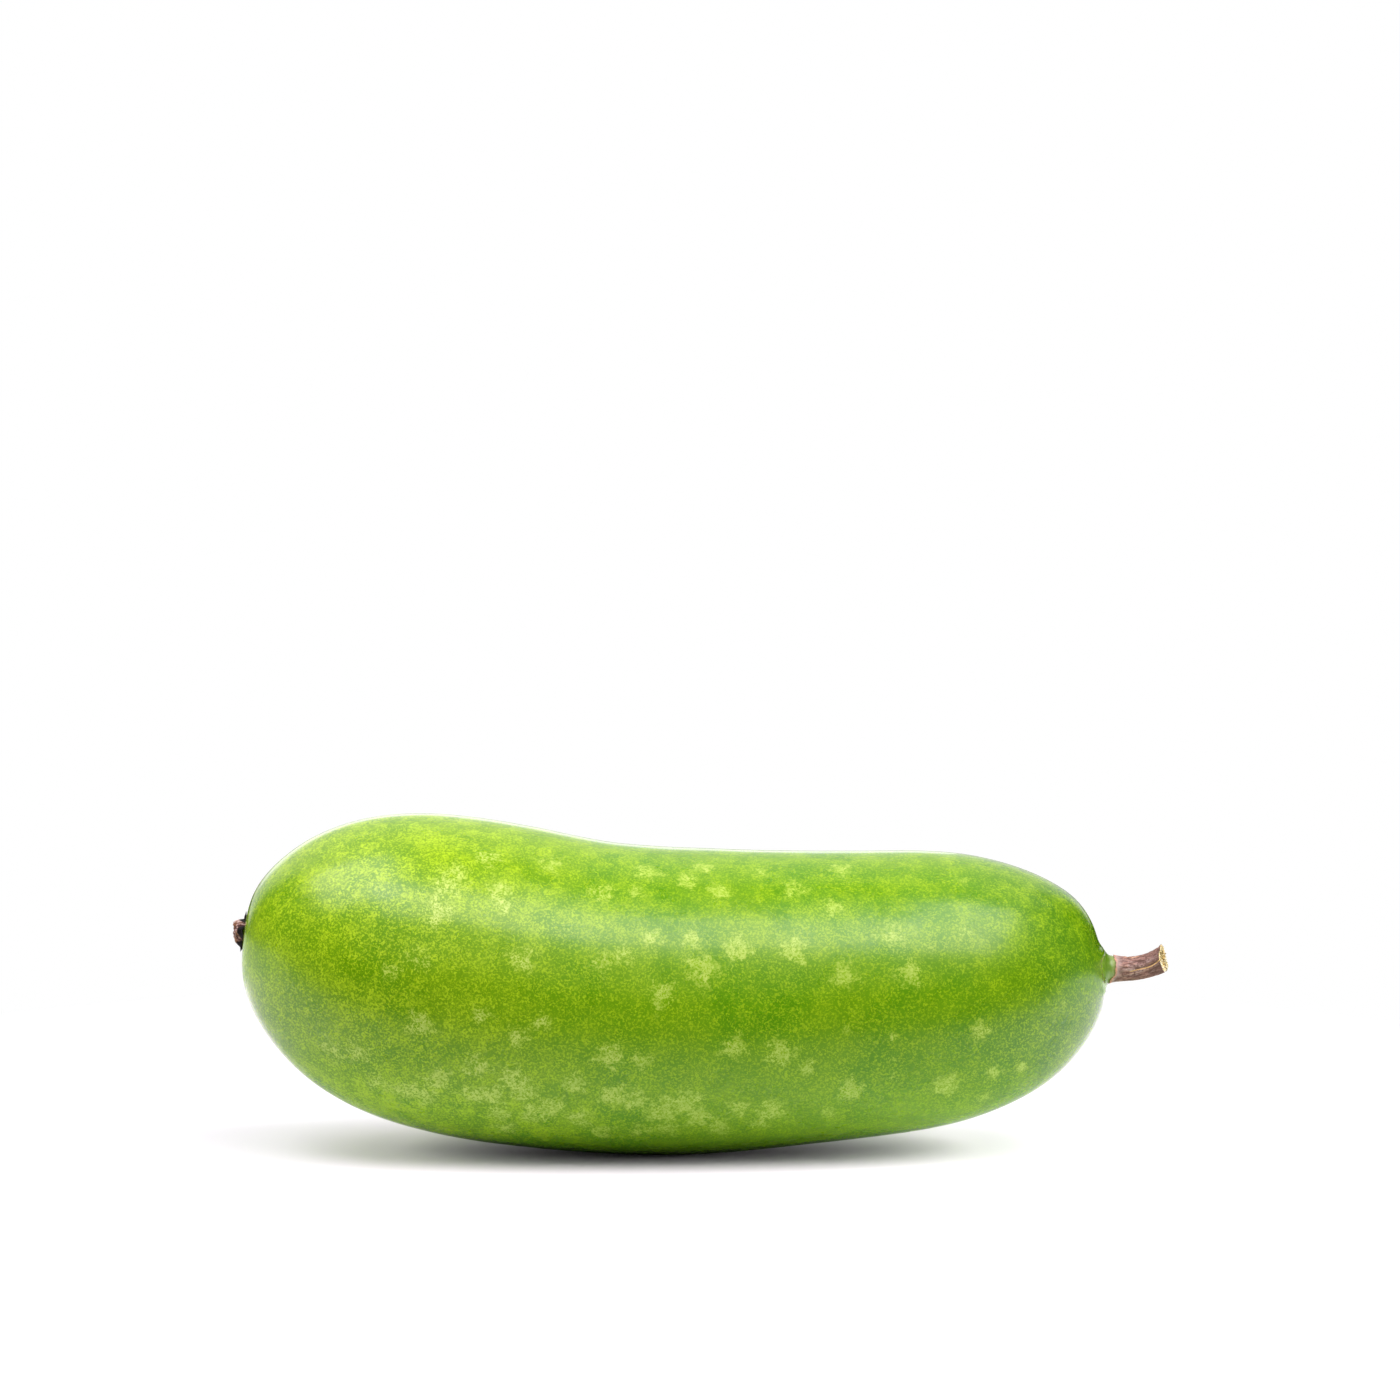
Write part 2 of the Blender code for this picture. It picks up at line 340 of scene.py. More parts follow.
world = bpy.data.worlds.new("studio")
scene.world = world
world.use_nodes = True
tree = world.node_tree
backdrop = tree.nodes["Background"]
backdrop.inputs["Color"].default_value = (1, 1, 1, 1)
seen = node(tree, "ShaderNodeLightPath").outputs["Is Camera Ray"]
tree.links.new(steps(tree, seen, 0, 1, ROOM_GLOW, 1), backdrop.inputs["Strength"])
scene.view_settings.view_transform = "Standard"
scene.view_settings.look = "None"

# %% [markdown]
# ## Shape of the fruit
#
# The fruit is a long, blunt, slightly bent barrel. The bend rises to both ends, so only the middle
# touches the table. It could be sculpted, but a formula keeps it on the solid that it stands for,
# whose values it shares: one side profile is turned once round, and every point of it is then set
# beside the bent centre line.

# %% Values of the fruit
BLOSSOM_END = -147.8 * MM
STEM_END = 161.9 * MM
MIDDLE_RADIUS = 55.3 * MM
TAPER = 0.046
BLOSSOM_CAP = 101 * MM
STEM_CAP = 80 * MM
BLOSSOM_ROUNDNESS = 2.28
STEM_ROUNDNESS = 2.32
LOBES = 5
LOBE_DEPTH = 0.4 * MM
DIMPLE_RADIUS = 8 * MM
DIMPLE_DEPTH = 0.9 * MM
CENTRE_HEIGHT = 54.55 * MM
BEND_X = -1.7 * MM
BEND_REACH = 44 * MM
BLOSSOM_RISE = 0.206
STEM_RISE = 0.102
BACK_SWAY = 3 * MM
COLLAR_LENGTH = 2.5 * MM
COLLAR_RADIUS = 5 * MM
COLLAR_FLARE = 6 * MM
COLLAR_FLARE_LENGTH = 4.5 * MM
GAP = 0.3 * MM
ALONG_Y = Vector((0, 1, 0))


def clamp(value):
    return min(max(value, 0), 1)


def cap_factor(reach, roundness):
    """Share of the full radius at a place that lies reach of the way out to a rounded end."""
    return (1 - clamp(reach) ** roundness) ** (1 / roundness)


def skin_radius(x):
    """Radius of the fruit, flowing into its green collar at the stem's end."""
    full = MIDDLE_RADIUS - TAPER * x
    to_blossom = (BLOSSOM_END + BLOSSOM_CAP - x) / BLOSSOM_CAP
    to_stem = (x - STEM_END + STEM_CAP) / STEM_CAP
    body = full * cap_factor(to_blossom, BLOSSOM_ROUNDNESS) * cap_factor(to_stem, STEM_ROUNDNESS)
    if x < STEM_END - STEM_CAP:
        return body
    flare = clamp((STEM_END + COLLAR_LENGTH - x) / COLLAR_FLARE_LENGTH)
    collar = COLLAR_RADIUS + COLLAR_FLARE * flare**2
    return (body**4 + collar**4) ** 0.25


length, thickness = STEM_END - BLOSSOM_END, 2 * skin_radius(0)
print("fruit", round(length / MM), "mm long and", round(thickness / MM), "mm thick")


# %% The bent centre line
def centre_slope(x):
    side = (x - BEND_X) / math.hypot(x - BEND_X, BEND_REACH)
    return (STEM_RISE + BLOSSOM_RISE) / 2 * side + (STEM_RISE - BLOSSOM_RISE) / 2


def centre_point(x):
    bend = math.hypot(x - BEND_X, BEND_REACH) - BEND_REACH
    rise = (STEM_RISE + BLOSSOM_RISE) / 2 * bend + (STEM_RISE - BLOSSOM_RISE) / 2 * (x - BEND_X)
    return Vector((x, BACK_SWAY * (x / STEM_END) ** 2, CENTRE_HEIGHT + rise))


def section_axes(x):
    """The direction along the fruit at x, level at its collar's end, and the one up from it."""
    slope = centre_slope(x) * clamp((STEM_END + COLLAR_LENGTH - x) / COLLAR_FLARE_LENGTH)
    return Vector((1, 0, slope)).normalized(), Vector((-slope, 0, 1)).normalized()


def round_from(centre, up, out, turn):
    """The point at distance out from centre, turned from up towards -Y."""
    return centre + out * (math.cos(turn) * up - math.sin(turn) * ALONG_Y)


print("ends at height", [round(centre_point(x).z / MM) for x in (BLOSSOM_END, STEM_END)], "mm")

# %% [markdown]
# ## Skin as a fine mesh
#
# A real gourd is never quite round: it swells and sinks by a fraction of a millimetre over a few
# centimetres, which its soft reflections show at once. A bump in the material would bend only the
# reflections. A fine mesh carries the swells as real shape, which the outline shows too.

# %% Places of the skin's points
SWELL_HEIGHT = 0.22 * MM
SWELL_LENGTH = 34 * MM
FINER_SWELLS = 2.7
FINER_SHARE = 0.3
EVEN_AT_ENDS = 20 * MM


def unevenness(place):
    """How far the skin stands out or in at a place, as a smooth noise."""
    broad = noise.noise(place / SWELL_LENGTH)
    small = noise.noise(place / (SWELL_LENGTH / FINER_SWELLS))
    return SWELL_HEIGHT * (broad + FINER_SHARE * small)


def fruit_point(x, out, turn):
    """A point of the skin, with the shallow dimple that holds the dried flower."""
    along, up = section_axes(x)
    lobed = out + LOBE_DEPTH * out / MIDDLE_RADIUS * math.cos(LOBES * turn)
    inward = 0
    if x < 0:
        inward = DIMPLE_DEPTH * math.exp(-((out / DIMPLE_RADIUS) ** 2))
    even = round_from(centre_point(x), up, lobed, turn) + inward * along
    lift = unevenness(even) * clamp(out / EVEN_AT_ENDS) ** 2
    return round_from(even, up, lift, turn)


# %% Side profile of the fruit
BLOSSOM_RINGS = 84
MIDDLE_RINGS = 116
STEM_RINGS_OF_FRUIT = 70
COLLAR_RINGS = 12
# The collar goes on under the bark: how much further and how much thinner, in millimetres.
NECK = [(0.4, 0.12), (0.9, 0.35), (1.4, 0.55), (2.0, 0.8)]


def cap_steps(count, roundness):
    """Distances from a rounded end, in shares of its length, closer together at the pole."""
    turns = [math.pi / 2 * i / count for i in range(count)]
    return [1 - math.cos(turn) ** (2 / roundness) for turn in turns]


def even_steps(start, end, count):
    return [start + (end - start) * i / count for i in range(count + 1)]


def fruit_profile():
    """The side view as (along, out) pairs, from the flower's end to the hidden end of the neck."""
    blossom_steps = cap_steps(BLOSSOM_RINGS, BLOSSOM_ROUNDNESS)
    stem_steps = cap_steps(STEM_RINGS_OF_FRUIT, STEM_ROUNDNESS)
    places = [BLOSSOM_END + BLOSSOM_CAP * share for share in blossom_steps]
    places += even_steps(BLOSSOM_END + BLOSSOM_CAP, STEM_END - STEM_CAP, MIDDLE_RINGS)
    places += [STEM_END - STEM_CAP * share for share in reversed(stem_steps)]
    places += even_steps(STEM_END, STEM_END + COLLAR_LENGTH, COLLAR_RINGS)[1:]
    profile = [(x, skin_radius(x)) for x in places]
    for further, thinner in NECK:
        profile.append((places[-1] + further * MM, COLLAR_RADIUS - thinner * MM))
    return profile + [(profile[-1][0], 0)]


# %% Turn a profile, and cut a shape flat
def turned_once(profile, segments, merge):
    """A profile of (along, out) pairs, turned once round the X axis."""
    mesh = bmesh.new()
    verts = [mesh.verts.new((along, 0, out)) for along, out in profile]
    edges = [mesh.edges.new(pair) for pair in zip(verts, verts[1:])]
    bmesh.ops.spin(
        mesh, geom=verts + edges, cent=(0, 0, 0), axis=(1, 0, 0),
        angle=FULL_TURN, steps=segments, use_merge=True, use_duplicate=False,
    )
    bmesh.ops.remove_doubles(mesh, verts=mesh.verts, dist=merge)
    return mesh


def cut_flat(mesh, place, outward):
    """Cut away what lies beyond a plane, and close the cut with one flat face."""
    geom = mesh.verts[:] + mesh.edges[:] + mesh.faces[:]
    cut = bmesh.ops.bisect_plane(
        mesh, geom=geom, plane_co=place, plane_no=outward, clear_outer=True,
    )
    rim = [item for item in cut["geom_cut"] if isinstance(item, bmesh.types.BMEdge)]
    return bmesh.ops.edgeloop_fill(mesh, edges=rim)["faces"]


# %% Swells and hollows of this one fruit
# Seen from the side: along, height, reach and depth, in millimetres.
SWELLS = [
    (-145.7, 93, 15, 1.25), (-139, 42, 26, -1.45), (-49, 120, 38, -1.0), (-19, 113, 16, -0.55),
    (21.5, 111, 20, 0.45), (86.5, 110, 30, -1.3), (124, 106, 14, -0.45), (152, 92, 11, 0.85),
    (160, 76, 6, -0.6), (157, 42, 20, -0.85), (161.8, 72.5, 2.4, 0.95), (162, 58.9, 1.7, 0.5),
]


def swell_at(place):
    """How far the skin stands out at a place because of the swells of this one fruit."""
    lift = 0
    for along, height, reach, depth in SWELLS:
        away = math.hypot(place.x - along * MM, place.z - height * MM) / (reach * MM)
        lift += depth * MM * math.exp(-away * away)
    return lift


# %% Skin mesh
# The flat face underneath is what the fruit rests on.
SKIN_SIDES = 288

skin = turned_once(fruit_profile(), SKIN_SIDES, merge=0.001 * MM)
for vert in skin.verts:
    along, y, z = vert.co
    vert.co = fruit_point(along, math.hypot(y, z), math.atan2(-y, z))
bmesh.ops.recalc_face_normals(skin, faces=skin.faces)
skin.normal_update()
for vert, normal in [(vert, vert.normal.copy()) for vert in skin.verts]:
    vert.co += swell_at(vert.co) * normal
cut_flat(skin, Vector(), Vector((0, 0, -1)))
bmesh.ops.recalc_face_normals(skin, faces=skin.faces)
print("skin", len(skin.verts), "points", len(skin.faces), "faces")


# %% Keep a finished mesh as a piece
def keep_piece(name, mesh, material, node_name, sharp=40):
    """Make a mesh an object that rides on the gourd and stands for one of the frame's nodes."""
    data = bpy.data.meshes.new(name)
    mesh.to_mesh(data)
    mesh.free()
    data.materials.append(material)
    data.shade_smooth()
    data.set_sharp_from_angle(angle=math.radians(sharp))
    piece = bpy.data.objects.new(name, data)
    scene.collection.objects.link(piece)
    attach(piece, "root")
    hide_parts(node_name)
    print(name, len(data.polygons), "faces")


# %% [markdown]
# ## Pale spots
#
# Wax gourd skin carries pale, star-like spots of 4 to 9 mm. Those that the photograph shows are put
# where it shows them: a line of sight from the camera through each spot's pixel meets the skin. The
# hidden side gets its own, spread by chance but never crowded. A painted image could hold them, but
# it would blur close up and need a seam. So each point of the mesh keeps how deep it lies in the
# nearest spot, for the paint to read.

# %% Spots that the photograph shows
# Column and row in the photograph, width in millimetres, strength.
SPOTS_SEEN = [
    (702, 867, 7, 0.9), (719, 892, 7, 1.0), (689, 880, 7, 1.0), (647, 872, 8, 0.9),
    (602, 892, 8, 0.8), (637, 892, 6, 0.7), (759, 872, 6, 0.7), (795, 889, 7, 1.0),
    (832, 907, 6.5, 0.9), (841, 869, 8, 0.8), (652, 939, 7, 0.8), (692, 939, 7, 0.9),
    (737, 949, 8, 1.0), (794, 948, 8, 1.0), (891, 935, 9, 0.8), (702, 969, 9, 1.0),
    (844, 974, 7, 0.9), (622, 954, 7, 0.8), (601, 962, 7, 0.7), (660, 994, 8, 0.7),
    (847, 1029, 4, 0.5), (734, 1047, 7, 0.8), (780, 1052, 7.5, 0.9), (806, 1067, 5, 0.7),
    (610, 1056, 7.5, 0.9), (642, 1061, 6, 0.7), (892, 1037, 4, 0.6), (893, 1060, 3.5, 0.4),
    (893, 1077, 5, 0.4), (850, 1090, 7.5, 0.9), (771, 1111, 8, 0.9), (684, 1103, 9, 1.0),
    (660, 1111, 8, 1.0), (612, 1096, 8, 0.8), (739, 1108, 7, 0.8), (719, 1128, 7, 0.8),
    (667, 1128, 7, 0.7), (602, 1132, 7, 0.7), (828, 1112, 6, 0.5), (931, 950, 5, 0.4),
    (964, 931, 6, 0.6), (910, 974, 7.5, 0.8), (981, 1031, 6.5, 0.7), (946, 1085, 7, 1.1),
    (993, 1073, 5, 0.8), (1022, 1067, 4.5, 0.7), (983, 1098, 5, 0.6), (1029, 889, 5, 0.4),
    (964, 881, 5, 0.6), (1057, 924, 4, 0.3), (1064, 1006, 4, 0.4), (1068, 1039, 5, 0.4),
    (1016, 950, 5, 0.3), (448, 884, 10, 0.9), (499, 889, 8, 0.9), (504, 906, 6, 0.9),
    (438, 911, 9, 0.9), (419, 959, 8, 0.6), (523, 959, 8, 0.8), (390, 971, 6, 0.6),
    (419, 1025, 8, 0.7), (482, 1015, 6, 0.6), (518, 1037, 6, 0.7), (542, 1022, 6, 0.6),
    (438, 1080, 9, 0.7), (477, 1066, 8, 0.7), (513, 1080, 8, 0.9), (491, 1097, 8, 0.8),
    (552, 1107, 7, 0.9), (472, 1093, 7, 0.7), (499, 1114, 7, 0.7), (377, 1083, 8, 0.6),
    (550, 865, 8, 0.8), (487, 858, 8, 0.8), (457, 872, 8, 0.8), (535, 1114, 8, 0.8),
    (404, 1091, 8, 0.7), (358, 1053, 9, 0.6), (333, 1050, 9, 0.6), (424, 1094, 9, 0.7),
    (581, 1118, 8, 0.7), (505, 1128, 8, 0.6), (636, 1100, 8, 0.8), (700, 1118, 8, 0.8),
    (574, 1084, 7, 0.7), (524, 1093, 8, 0.8), (640, 1130, 7, 0.6), (760, 1122, 7, 0.6),
]
skin_tree = BVHTree.FromBMesh(skin)
spots = []
for column, row, width, strength in SPOTS_SEEN:
    centre, outward, _, _ = skin_tree.ray_cast(camera.location, sight_line(column, row))
    if centre is not None:
        spots.append((centre, outward, width * MM, strength))
print("spots seen", len(spots))

# %% Spots on the hidden side
HIDDEN_SPOTS = 80
MOST_TRIES = 6 * HIDDEN_SPOTS
HIDDEN_FROM, HIDDEN_TO = math.radians(176), math.radians(350)
OFF_ENDS = 12 * MM
HIDDEN_WIDTHS = (4, 9)
HIDDEN_STRENGTHS = (0.4, 1)
SPOT_SPACING = 13 * MM
chance = random.Random(5)

for _ in range(MOST_TRIES):
    if len(spots) >= len(SPOTS_SEEN) + HIDDEN_SPOTS:
        break
    x = chance.uniform(BLOSSOM_END + OFF_ENDS, STEM_END - OFF_ENDS)
    turn = chance.uniform(HIDDEN_FROM, HIDDEN_TO)
    width = chance.uniform(*HIDDEN_WIDTHS) * MM
    strength = chance.uniform(*HIDDEN_STRENGTHS)
    centre, outward, _, _ = skin_tree.find_nearest(fruit_point(x, skin_radius(x), turn))
    if all((centre - other[0]).length > SPOT_SPACING for other in spots):
        spots.append((centre, outward, width, strength))
print("spots in all", len(spots))

# %% How deep each point lies in a spot
SPOT_REACH = 11 * MM
SPOT_SIZE = 0.88
SPOT_FALL = 1.7
# The spots are ragged like stars: how many arms of each kind, and how long they are.
ARMS = ((3, 0.14), (5, 0.13), (8, 0.12), (13, 0.09))

spot_places = kdtree.KDTree(len(spots))
for number, spot in enumerate(spots):
    spot_places.insert(spot[0], number)
spot_places.balance()
spot_phases = [[chance.uniform(0, FULL_TURN) for _ in ARMS] for _ in spots]
spot_depth = skin.verts.layers.float.new("spot_depth")


def depth_in_spot(place, number):
    """1 in a spot's middle, fading out to nothing across its ragged edge."""
    centre, outward, width, strength = spots[number]
    along = Vector((1, 0, 0)) - outward.x * outward
    around = outward.cross(along)
    away = place - centre
    angle = math.atan2(away.dot(around), away.dot(along))
    ragged = 1
    for (count, height), phase in zip(ARMS, spot_phases[number]):
        ragged += height * math.sin(count * angle + phase)
    reach = away.length / (SPOT_SIZE * width * ragged)
    return strength * math.exp(-SPOT_FALL * reach * reach)


for vert in skin.verts:
    near = spot_places.find_range(vert.co, SPOT_REACH)
    vert[spot_depth] = max((depth_in_spot(vert.co, found[1]) for found in near), default=0)
print("points in spots", sum(vert[spot_depth] > 0.3 for vert in skin.verts))

# %% [markdown]
# ## Skin paint
#
# Under the wax the skin is a saturated green, crossed all over by a web of thread-like pale flecks
# less than a millimetre apart. Where the web thickens, it becomes a cloud or a spot. Pale paint
# laid over the green would hide the web there. So one fine noise makes the threads, and coarser
# things only tell how wide and strong they are: the spots kept on the mesh, and a drifting cloud
# noise that grows towards the flower and in a belt low on the side. It also grows along the top, as
# a painted sheen, and the threads thin out near the table as painted shade.

# %% Colours of the skin
DEEP_GREEN = (0.104, 0.306, 0.0003, 1)
BRIGHT_GREEN = (0.200, 0.385, 0.0004, 1)
STEM_END_GREEN = (0.062, 0.205, 0.0003, 1)
MILKY_GREEN = (0.385, 0.62, 0.006, 1)
PALE_FLECK = (0.475, 0.69, 0.015, 1)
SPOT_CREAM = (0.61, 0.76, 0.15, 1)
COLLAR_GREEN = (0.12, 0.26, 0.008, 1)
COLLAR_PALE = (0.34, 0.44, 0.14, 1)
COLLAR_RIM_HIGHLIGHT = (0.50, 0.60, 0.30, 1)


# %% Noise, values kept on a mesh, and relief
def noise_value(tree, place, scale, detail=2.0, roughness=0.5, distortion=0.0):
    inputs = {
        "Vector": place, "Scale": scale, "Detail": detail,
        "Roughness": roughness, "Distortion": distortion,
    }
    return node(tree, "ShaderNodeTexNoise", inputs).outputs["Fac"]


def attribute(tree, name, output="Fac"):
    return node(tree, "ShaderNodeAttribute", attribute_name=name).outputs[output]


def add_bump(tree, shader, height, strength, distance):
    """Fine relief, too small for the mesh."""
    inputs = {"Height": height, "Strength": strength, "Distance": distance}
    bump = node(tree, "ShaderNodeBump", inputs)
    tree.links.new(bump.outputs["Normal"], shader.inputs["Normal"])


skin_paint, tree, shader = plain_material("green_skin")
place = object_place(tree)
along = component(tree, place, "X")
height = component(tree, place, "Z")
depth = attribute(tree, "spot_depth")

# %% Where the skin is paler
# Each of these goes from 0 to 1 where the skin becomes as its name says.
towards_flower = steps(tree, along, 20 * MM, -110 * MM)
lower_side = steps(tree, height, 85 * MM, 50 * MM)
belt_start = steps(tree, height, 6 * MM, 16 * MM)
belt_end = steps(tree, height, 42 * MM, 24 * MM)
belt_length = steps(tree, along, 30 * MM, -30 * MM, 0.35, 1.0)
low_belt = product(tree, belt_start, belt_end, belt_length)
# The clouds grow along the top as a painted sheen, a little lower towards the flower.
lowered = maths(tree, "MULTIPLY_ADD", towards_flower, -12 * MM, height)
painted_top_sheen = steps(tree, lowered, 68 * MM, 92 * MM)

clouds = steps(tree, noise_value(tree, place, 125, 4, 0.65), 0.40, 0.62)
cloud_share = maths(tree, "MULTIPLY_ADD", towards_flower, 0.36, 0.26)
cloud_share = maths(tree, "MULTIPLY_ADD", low_belt, 0.5, cloud_share)
cloud_share = maths(tree, "MULTIPLY_ADD", painted_top_sheen, 0.25, cloud_share)
frayed = steps(tree, noise_value(tree, place, 340, 4, 0.72), 0.3, 0.7, 0.2, 1.8, smooth=False)
deeper = product(tree, depth, maths(tree, "MULTIPLY_ADD", lower_side, 0.32, 1.0), frayed)
in_spot = steps(tree, deeper, 0.14, 0.95)
paleness = maths(tree, "MAXIMUM", product(tree, clouds, cloud_share), in_spot)

# %% Threads of pale flecks
# They fade out on the collar. Low down, where the fruit turns under to the table, they fade as
# painted shade.
thread_noise = noise_value(tree, place, 1400, 1.0, 0.5, 0.8)
thread_limit = maths(tree, "MULTIPLY_ADD", paleness, -0.1, 0.5)
threads = steps(tree, thread_noise, thread_limit, maths(tree, "ADD", thread_limit, 0.12))
broken = steps(tree, noise_value(tree, place, 420, 1, 0.5), 0.36, 0.62, 0.65, 1.0)
thread_strength = maths(tree, "MULTIPLY_ADD", towards_flower, 0.42, 0.46)
thread_strength = maths(tree, "MULTIPLY_ADD", lower_side, 0.14, thread_strength)
thread_strength = maths(tree, "MULTIPLY_ADD", paleness, 0.2, thread_strength)
on_collar = steps(tree, along, 160.5 * MM, 162.5 * MM, 1.0, 0.12)
# Fewer flecks near the table: painted shade where the fruit turns under.
painted_shade_near_table = steps(tree, height, 3 * MM, 13 * MM, 0.35, 1.0)
fleck_share = product(tree, threads, broken, thread_strength, on_collar, painted_shade_near_table)

# %% Skin colour
# The green brightens in broad patches and towards the flower, and darkens in two steps to the stem.
bright = steps(tree, noise_value(tree, place, 28, 2, 0.5), 0.35, 0.65, 0.0, 0.5)
bright = maths(tree, "MULTIPLY_ADD", towards_flower, 0.4, bright)
green = mixed(tree, bright, DEEP_GREEN, BRIGHT_GREEN)
green = mixed(tree, steps(tree, along, 100 * MM, 156 * MM, 0.0, 0.8), green, STEM_END_GREEN)
green = mixed(tree, steps(tree, along, 152 * MM, 162 * MM, 0.0, 0.6), green, STEM_END_GREEN)
milk = maths(tree, "MULTIPLY_ADD", towards_flower, -0.1, 0.42)
milk = maths(tree, "MULTIPLY_ADD", in_spot, 0.15, milk)
milky = mixed(tree, product(tree, paleness, milk), green, MILKY_GREEN)
fleck_colour = mixed(tree, in_spot, PALE_FLECK, SPOT_CREAM)
skin_colour = mixed(tree, fleck_share, milky, fleck_colour)

# %% [markdown]
# ## Collar
#
# The fruit ends in a smooth green collar that pales towards the bark. Where it stands on the
# fruit's shoulder, a thin pale ring is painted in as the highlight along that crease. It could have
# a material of its own, but it is one grown surface with the skin, so the skin's paint changes over
# by the distance from the line along which the stem grows, made a little uneven.

# %% Collar colour
ACROSS = (0, 1, 1)

uneven = noise_value(tree, place, 450, 3, 0.6)
paling = maths(tree, "MULTIPLY_ADD", uneven, 5 * MM, along)
paling = steps(tree, paling, 164.6 * MM, 167.6 * MM, 0.0, 0.85)
collar = mixed(tree, paling, COLLAR_GREEN, COLLAR_PALE)
from_stem = vector_maths(tree, "SUBTRACT", place, centre_point(STEM_END))
from_stem = length_of(tree, vector_maths(tree, "MULTIPLY", from_stem, ACROSS))
from_stem = maths(tree, "MULTIPLY_ADD", uneven, 1.2 * MM, from_stem)
at_stem = steps(tree, along, 154 * MM, 156 * MM)
in_collar = product(tree, at_stem, steps(tree, from_stem, 8.2 * MM, 7.4 * MM))
skin_colour = mixed(tree, in_collar, skin_colour, collar)
# A thin pale ring where the collar meets the shoulder: a painted highlight along the crease.
ring_inside = steps(tree, from_stem, 7.2 * MM, 7.7 * MM)
ring_outside = steps(tree, from_stem, 8.5 * MM, 7.8 * MM)
painted_rim_highlight = product(tree, ring_inside, ring_outside, at_stem, 0.6)
skin_colour = mixed(tree, painted_rim_highlight, skin_colour, COLLAR_RIM_HIGHLIGHT)
tree.links.new(skin_colour, shader.inputs["Base Color"])
print("skin paint", len(tree.nodes), "nodes")

# %% Skin gloss
# The wax is satin and a little uneven, and shines more where one looks along it.
add_bump(tree, shader, noise_value(tree, place, 900, 2, 0.55), 0.35, 0.05 * MM)
gloss = steps(tree, noise_value(tree, place, 60, 3, 0.6), 0.3, 0.7, 0.25, 0.33, smooth=False)
grazing = node(tree, "ShaderNodeLayerWeight", {"Blend": 0.5}).outputs["Facing"]
gloss = product(tree, gloss, steps(tree, grazing, 0.65, 0.85, 1.0, 0.5))
tree.links.new(gloss, shader.inputs["Roughness"])
shader.inputs["Coat Weight"].default_value = 0.08
shader.inputs["Coat Roughness"].default_value = 0.06

keep_piece("gourd_skin", skin, skin_paint, "fruit")

# %% [markdown]
# ## Stem
#
# The stem is woody and five-sided, and bends up and towards the camera. Its brown bark starts at a
# torn edge on the green collar, which it laps over underneath. Long furrows run along it, and one
# pale split. A curve with a thickness would make a bent rod too, but a turned profile lets a rule
# place every point, so the furrows and the torn edge are part of the shape.

# %% Values of the stem
STEM_RADIUS = 4.15 * MM
STEM_BASE_SWELL = 0.8 * MM
STEM_TIP_SWELL = 0.6 * MM
STEM_STRAIGHT = 5 * MM
STEM_BEND_RADIUS = 24 * MM
STEM_BEND = math.radians(38)
STEM_LEAN = math.radians(25)
STEM_LENGTH = STEM_STRAIGHT + STEM_BEND_RADIUS * STEM_BEND
STEM_ANGLES = 5
STEM_ANGLE_HEIGHT = 0.22 * MM
STEM_SIDES = 180
STEM_RINGS = 130
CUT_BEFORE_TIP = 2.0 * MM
CUT_TURN = math.radians(21)
CUT_TILT = math.radians(16)
BARK_START = 0.75 * MM
BARK_LAP = 1.9 * MM
BARK_LIP = 0.15 * MM
BARK_END_INSIDE = 1.9 * MM


def stem_axis(s):
    """Point on the stem's centre line at length s, with its direction and its upward direction."""
    start_x = STEM_END + COLLAR_LENGTH
    along, up = section_axes(start_x)
    start = centre_point(start_x) + GAP * along
    side = math.cos(STEM_LEAN) * up - math.sin(STEM_LEAN) * ALONG_Y
    bent = max(s - STEM_STRAIGHT, 0) / STEM_BEND_RADIUS
    point = start + min(s, STEM_STRAIGHT) * along
    point += STEM_BEND_RADIUS * (math.sin(bent) * along + (1 - math.cos(bent)) * side)
    direction = math.cos(bent) * along + math.sin(bent) * side
    return point, direction, (up - up.dot(direction) * direction).normalized()


def stem_radius(s):
    swell = STEM_BASE_SWELL * math.exp(-s / STEM_RADIUS)
    return STEM_RADIUS + swell + STEM_TIP_SWELL * max(s / STEM_LENGTH, 0) ** 3


# %% Grain and torn edge of the bark
GRAIN_AROUND = 2.3
GRAIN_LENGTH = 6.5 * MM
LAP_FROM = 0.28
LAP_OVER = 0.55


def bark_grain(s, turn):
    """A place to read noise from, so that its features come out long and narrow along the bark."""
    around = GRAIN_AROUND * math.cos(turn), GRAIN_AROUND * math.sin(turn)
    return Vector((*around, s / GRAIN_LENGTH))


def bark_edge(turn):
    """Length along the stem at which the bark starts, further back underneath."""
    under = clamp((-math.cos(turn) - LAP_FROM) / LAP_OVER)
    torn = noise.noise(Vector((3 * math.cos(turn), 3 * math.sin(turn), 7)))
    fine = noise.noise(Vector((11 * math.cos(turn), 11 * math.sin(turn), 3)))
    lapped = BARK_LAP * under * under * (3 - 2 * under)
    return BARK_START - lapped + (0.35 * torn + 0.45 * fine) * MM


# %% Furrows and split of the bark
FURROW_DEPTH = 0.34 * MM
FURROW_WIDTH = 0.16
FINE_FURROW_WIDTH = 0.3
FINE_FURROWS = 2.7
COARSE_SHARE = 0.62
FINE_SHARE = 0.38
SPLIT_TURN = math.radians(104)
SPLIT_CLIMB = math.radians(25)
SPLIT_SWAY = math.radians(3)
SPLIT_SWAY_LENGTH = 1.9 * MM
SPLIT_WIDTH = 0.36 * MM
SPLIT_DEPTH = 0.25 * MM
SPLIT_FROM, SPLIT_TO = 5 * MM, 21 * MM
SPLIT_TAPER = 2 * MM


def split_share(s, turn):
    """1 in the middle of the pale split, 0 away from it."""
    swaying = SPLIT_SWAY * math.sin(s / SPLIT_SWAY_LENGTH)
    middle = SPLIT_TURN + swaying - SPLIT_CLIMB * s / STEM_LENGTH
    aside = abs(turn - middle) * STEM_RADIUS / SPLIT_WIDTH
    ends = clamp((s - SPLIT_FROM) / SPLIT_TAPER) * clamp((SPLIT_TO - s) / SPLIT_TAPER)
    return clamp(1 - aside) * ends


